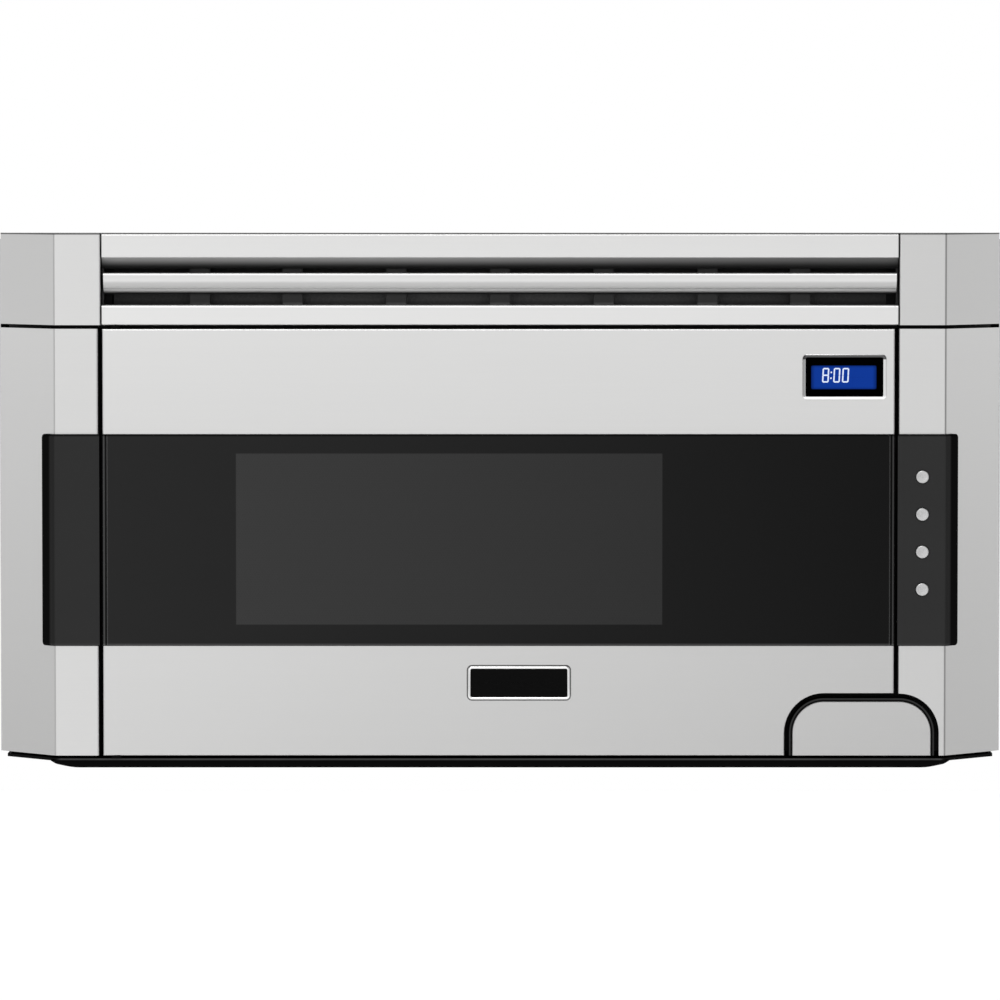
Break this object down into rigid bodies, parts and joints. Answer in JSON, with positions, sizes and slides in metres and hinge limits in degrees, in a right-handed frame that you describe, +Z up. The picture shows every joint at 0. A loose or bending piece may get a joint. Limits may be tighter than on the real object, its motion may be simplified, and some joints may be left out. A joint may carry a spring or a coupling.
{
  "type": "over-the-range microwave",
  "caption": "Wall-hung microwave oven with a left-hinged steel and black glass door, push-to-open pad, push buttons, turntable and a top vent grille over a hood blower.",
  "frame": {"origin": "on the wall plane at mid-width, level with the lower edge of the door", "axes": "+X to the right seen from the front, +Y from the room into the wall, +Z up"},
  "size_m": [0.762, 0.4014, 0.4047],
  "materials": {
    "steel": "brushed",
    "black_glass": "gloss",
    "band_glass": "gloss",
    "bright_trim": "polished",
    "display": "gloss",
    "nameplate": "gloss",
    "button": "satin",
    "case_paint": "satin",
    "zinc": "galvanised",
    "enamel": "satin",
    "black_plastic": "matte",
    "white_plastic": "matte",
    "board": "satin",
    "charcoal": "matte",
    "filter_mesh": "mesh",
    "clear_glass": "gloss",
    "mica": "satin",
    "iron": "satin",
    "cast_aluminium": "satin"
  },
  "bodies": {
    "chassis": {"left_front_panel": "steel", "right_front_panel": "steel", "top_caps": "steel", "vent_grille": "steel", "grille_louvre": "steel", "left_glass_band": "band_glass", "control_glass": "band_glass", "front_frame": "case_paint", "door_hinges": "case_paint", "case_wrap": "case_paint", "base_pan": "case_paint", "duct_cover": "case_paint", "rear_panel": "zinc", "wall_plate": "zinc", "fasteners": "zinc", "fan_shroud": "zinc", "waveguide": "zinc", "oven_cavity": "enamel", "pad_housing": "black_plastic", "latch_catch": "black_plastic", "button_carrier": "black_plastic", "cord_gland": "black_plastic", "blower_housings": "black_plastic", "control_board": "board", "charcoal_filter": "charcoal", "grease_filters": "filter_mesh", "lamp_lenses": "clear_glass", "lamps": "clear_glass", "waveguide_cover": "mica", "hv_transformer": "iron", "fan_motor": "iron", "turntable_motor": "iron", "blower_motor": "iron", "magnetron": "cast_aluminium", "hv_capacitor": "cast_aluminium"},
    "door": {"door_skin": "steel", "door_glass": "black_glass", "door_frame": "case_paint", "door_screen": "case_paint", "choke_cover": "black_plastic", "door_hinge_bushes": "black_plastic", "display_bezel": "bright_trim", "display_lens": "display", "nameplate": "nameplate"},
    "latch": {"latch_bar": "black_plastic"},
    "open_pad": {"open_pad": "black_plastic", "pad_plate": "steel"},
    "open_lever": {"open_lever": "black_plastic"},
    "turntable": {"glass_tray": "clear_glass", "turntable_coupler": "white_plastic"},
    "roller_ring": {"roller_ring": "white_plastic"},
    "cooling_fan": {"fan_blade": "black_plastic"},
    "blower": {"blower_wheels": "black_plastic"},
    "button_1": {"button_1": "button"},
    "button_2": {"button_2": "button"},
    "button_3": {"button_3": "button"},
    "button_4": {"button_4": "button"},
    "roller_1": {"roller_1": "white_plastic"},
    "roller_2": {"roller_2": "white_plastic"},
    "roller_3": {"roller_3": "white_plastic"}
  },
  "joints": [
    {"name": "door_swing", "type": "hinge", "parent": "chassis", "child": "door", "pos_m": [-0.2903, -0.393, 0.1615], "axis": [0, 0, -1], "range_deg": [0, 105]},
    {"name": "pad_push", "type": "slide", "parent": "chassis", "child": "open_pad", "axis": [0, 1, 0], "range_m": [0, 0.004], "stiffness_N_per_m": 1500},
    {"name": "lever_tilt", "type": "hinge", "parent": "chassis", "child": "open_lever", "pos_m": [0.27365, -0.3398, 0.046], "axis": [1, 0, 0], "range_deg": [0, 9.6]},
    {"name": "latch_lift", "type": "slide", "parent": "door", "child": "latch", "axis": [0, 0, 1], "range_m": [0, 0.003]},
    {"name": "button_1_press", "type": "slide", "parent": "chassis", "child": "button_1", "axis": [0, 1, 0], "range_m": [0, 0.0012], "stiffness_N_per_m": 800},
    {"name": "button_2_press", "type": "slide", "parent": "chassis", "child": "button_2", "axis": [0, 1, 0], "range_m": [0, 0.0012], "stiffness_N_per_m": 800},
    {"name": "button_3_press", "type": "slide", "parent": "chassis", "child": "button_3", "axis": [0, 1, 0], "range_m": [0, 0.0012], "stiffness_N_per_m": 800},
    {"name": "button_4_press", "type": "slide", "parent": "chassis", "child": "button_4", "axis": [0, 1, 0], "range_m": [0, 0.0012], "stiffness_N_per_m": 800},
    {"name": "turntable_spin", "type": "hinge", "parent": "chassis", "child": "turntable", "pos_m": [-0.0384, -0.1914, 0.0585], "axis": [0, 0, 1], "continuous": true},
    {"name": "roller_ring_spin", "type": "hinge", "parent": "chassis", "child": "roller_ring", "pos_m": [-0.0384, -0.1914, 0.0585], "axis": [0, 0, 1], "continuous": true},
    {"name": "roller_1_spin", "type": "hinge", "parent": "roller_ring", "child": "roller_1", "pos_m": [-0.0384, -0.0988, 0.0585], "axis": [0, 1, 0], "continuous": true},
    {"name": "roller_2_spin", "type": "hinge", "parent": "roller_ring", "child": "roller_2", "pos_m": [-0.11859, -0.2377, 0.0585], "axis": [-0.866, -0.5, 0], "continuous": true},
    {"name": "roller_3_spin", "type": "hinge", "parent": "roller_ring", "child": "roller_3", "pos_m": [0.04179, -0.2377, 0.0585], "axis": [0.866, -0.5, 0], "continuous": true},
    {"name": "fan_spin", "type": "hinge", "parent": "chassis", "child": "cooling_fan", "pos_m": [0.2652, -0.06, 0.2372], "axis": [0, 1, 0], "continuous": true},
    {"name": "blower_spin", "type": "hinge", "parent": "chassis", "child": "blower", "pos_m": [-0.02, -0.095, 0.3362], "axis": [1, 0, 0], "continuous": true}
  ],
  "couplings": [
    {"joint": "lever_tilt", "follows": "pad_push", "rad_per_m": 41.667},
    {"joint": "latch_lift", "follows": "pad_push", "ratio": 0.75},
    {"joint": "roller_ring_spin", "follows": "turntable_spin", "ratio": 0.5},
    {"joint": "roller_1_spin", "follows": "turntable_spin", "ratio": -5.1444},
    {"joint": "roller_2_spin", "follows": "turntable_spin", "ratio": -5.1444},
    {"joint": "roller_3_spin", "follows": "turntable_spin", "ratio": -5.1444}
  ]
}
